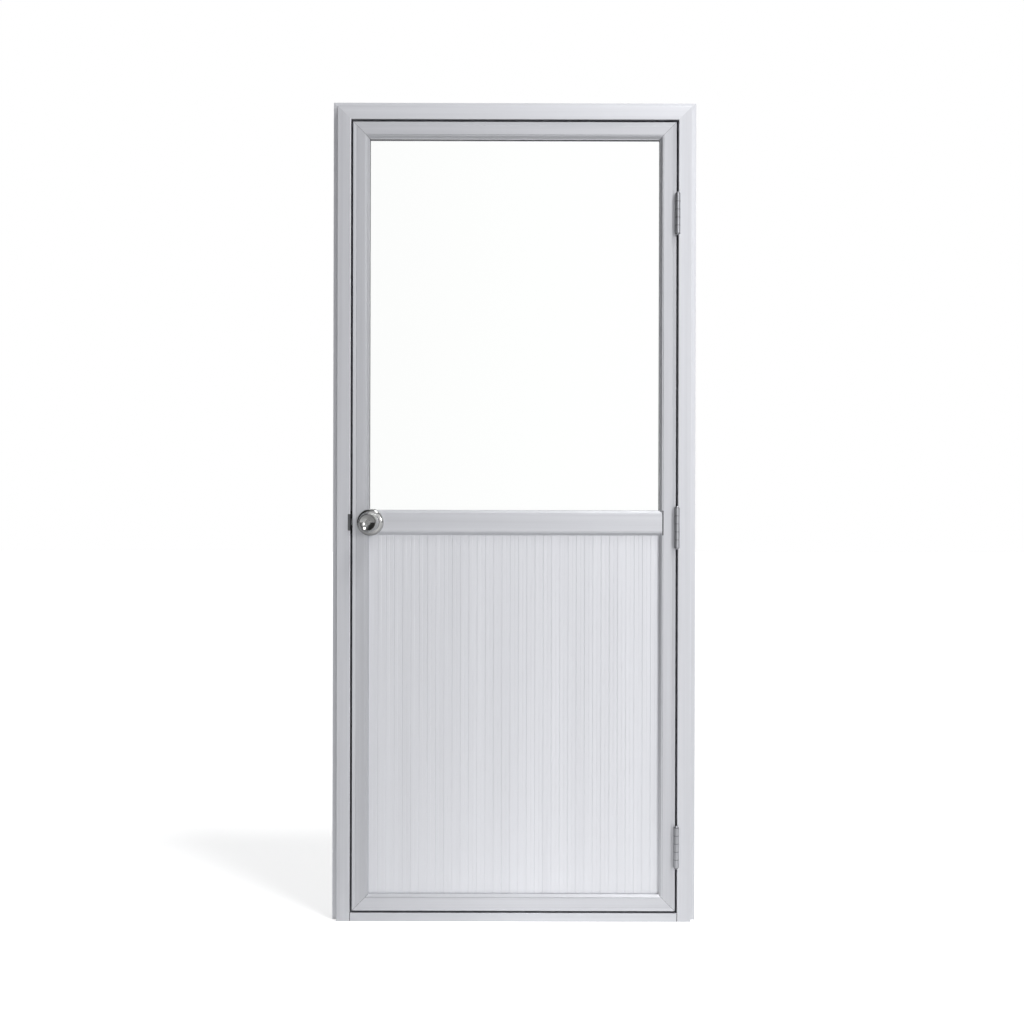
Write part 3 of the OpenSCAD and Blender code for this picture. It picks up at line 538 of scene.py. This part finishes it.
# countersunk screws in the hinge plates, the face plate and the strike plate
screw = {
    "headWidth": 0.0078,
    "coneDepth": 0.0017,
    "shankWidth": 0.0042,
    "sides": 32,
    "rounding": 0.00015,
    "roundingSteps": 2,
    "recessLength": 0.0046,             # arms of the cross recess
    "recessWidth": 0.0010,
    "recessDepth": 0.0012,
    "sunk": 0.0001,                     # the head lies this far below the plate's face
    "tightening": 37,                   # degrees from one screw's cross to the next, as if by chance
    "hingePitch": 0.036,                # from a hinge's middle screw to the outer ones
    "hingeInset": 0.0114,               # from the plates' back edge to the outer screws
    "hingeStep": 0.008,                 # the middle screw lies this much nearer to the knuckles
    "hingePlate": 0.002,                # the plates' thickness
    "lockPitch": 0.0205,                # from the bolt's middle to the screws of its plates
}


def newScrew():
    # a countersunk head lying along X, its face at the origin looking along +X
    bpy.ops.object.select_all(action="DESELECT")
    depth = screw["coneDepth"]
    bpy.ops.mesh.primitive_cone_add(vertices=screw["sides"], radius1=screw["shankWidth"] / 2,
                                    radius2=screw["headWidth"] / 2, depth=depth,
                                    location=(-depth / 2, 0, 0), rotation=(0, radians(90), 0))
    head = bpy.context.object
    bpy.ops.object.transform_apply(location=True, rotation=True, scale=True)
    bevel = head.modifiers.new("roundedRim", "BEVEL")
    bevel.width = screw["rounding"]
    bevel.segments = screw["roundingSteps"]
    bevel.limit_method = "ANGLE"
    bpy.ops.object.modifier_apply(modifier=bevel.name)
    for turn in (0, 90):
        bpy.ops.mesh.primitive_cube_add(size=1.0, rotation=(radians(turn), 0, 0))
        arm = bpy.context.object
        arm.scale = (2 * screw["recessDepth"], screw["recessLength"], screw["recessWidth"])
        bpy.context.view_layer.objects.active = head
        cut = head.modifiers.new("crossRecess", "BOOLEAN")
        cut.object = arm
        bpy.ops.object.modifier_apply(modifier=cut.name)
        bpy.data.objects.remove(arm)
    bpy.ops.object.select_all(action="DESELECT")
    head.select_set(True)
    return head


def placeScrews(name, body, places):
    # one copy of the screw for each place and facing, joined to one piece
    pattern = newScrew()
    copies = []
    for number, (place, facing) in enumerate(places):
        bpy.ops.object.select_all(action="DESELECT")
        pattern.select_set(True)
        bpy.context.view_layer.objects.active = pattern
        bpy.ops.object.duplicate(linked=False)
        copy = bpy.context.object
        tightened = radians(screw["tightening"] * number % 90)
        turned = 0.0 if facing > 0 else radians(180)
        copy.rotation_euler = (tightened, 0.0, turned)
        copy.location = Vector(place) - Vector((facing * screw["sunk"], 0, 0))
        copies.append(copy)
    bpy.data.objects.remove(pattern)
    bpy.ops.object.select_all(action="DESELECT")
    for copy in copies:
        copy.select_set(True)
    bpy.context.view_layer.objects.active = copies[0]
    bpy.ops.object.join()
    piece = bpy.context.object
    bpy.ops.object.transform_apply(location=True, rotation=True, scale=True)
    piece.name = name
    piece.data.materials.clear()
    piece.data.materials.append(plateSteel)
    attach(piece, body)


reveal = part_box("jamb_hinge_side")[0].x
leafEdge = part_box("stile_hinge_side")[1].x
frameScrewPlaces = []
leafScrewPlaces = []
for place in hingePlaces:
    low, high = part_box("hinge_%s_frame_plate" % place)
    middle = (low + high) / 2
    for step in (-1, 0, 1):
        y = high.y - screw["hingeInset"] - (0 if step else screw["hingeStep"])
        z = middle.z + step * screw["hingePitch"]
        frameScrewPlaces.append(((reveal - screw["hingePlate"], y, z), -1))
        leafScrewPlaces.append(((leafEdge + screw["hingePlate"], y, z), 1))
low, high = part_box("latch_face_plate")
facePlateMiddle = (low + high) / 2
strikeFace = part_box("strike_plate")[1].x
for step in (-1, 1):
    z = facePlateMiddle.z + step * screw["lockPitch"]
    frameScrewPlaces.append(((strikeFace, facePlateMiddle.y, z), 1))
    leafScrewPlaces.append(((low.x, facePlateMiddle.y, z), -1))
placeScrews("frameScrews", "frame", frameScrewPlaces)
placeScrews("leafScrews", "leaf", leafScrewPlaces)
print("screws placed")


# fine bevels on the members' sawn ends and corners, held below a tenth of a mm by their thin walls
edges = {"width": 0.0006, "angle": 30.0, "weld": 0.000002}


def breakEdges(nodeNames):
    for name in nodeNames:
        piece = nodes[name]
        weld = piece.modifiers.new("weldedCorners", "WELD")
        weld.merge_threshold = edges["weld"]
        bevel = piece.modifiers.new("brokenEdges", "BEVEL")
        bevel.width = edges["width"]
        bevel.segments = 1
        bevel.limit_method = "ANGLE"
        bevel.angle_limit = radians(edges["angle"])


breakEdges(["jamb_latch_side", "jamb_hinge_side", "head", "sill", "stile_latch_side", "stile_hinge_side",
            "rail_top", "rail_middle", "rail_bottom"])
print("edges broken")


# picture settings
scene.view_settings.view_transform = "Standard"
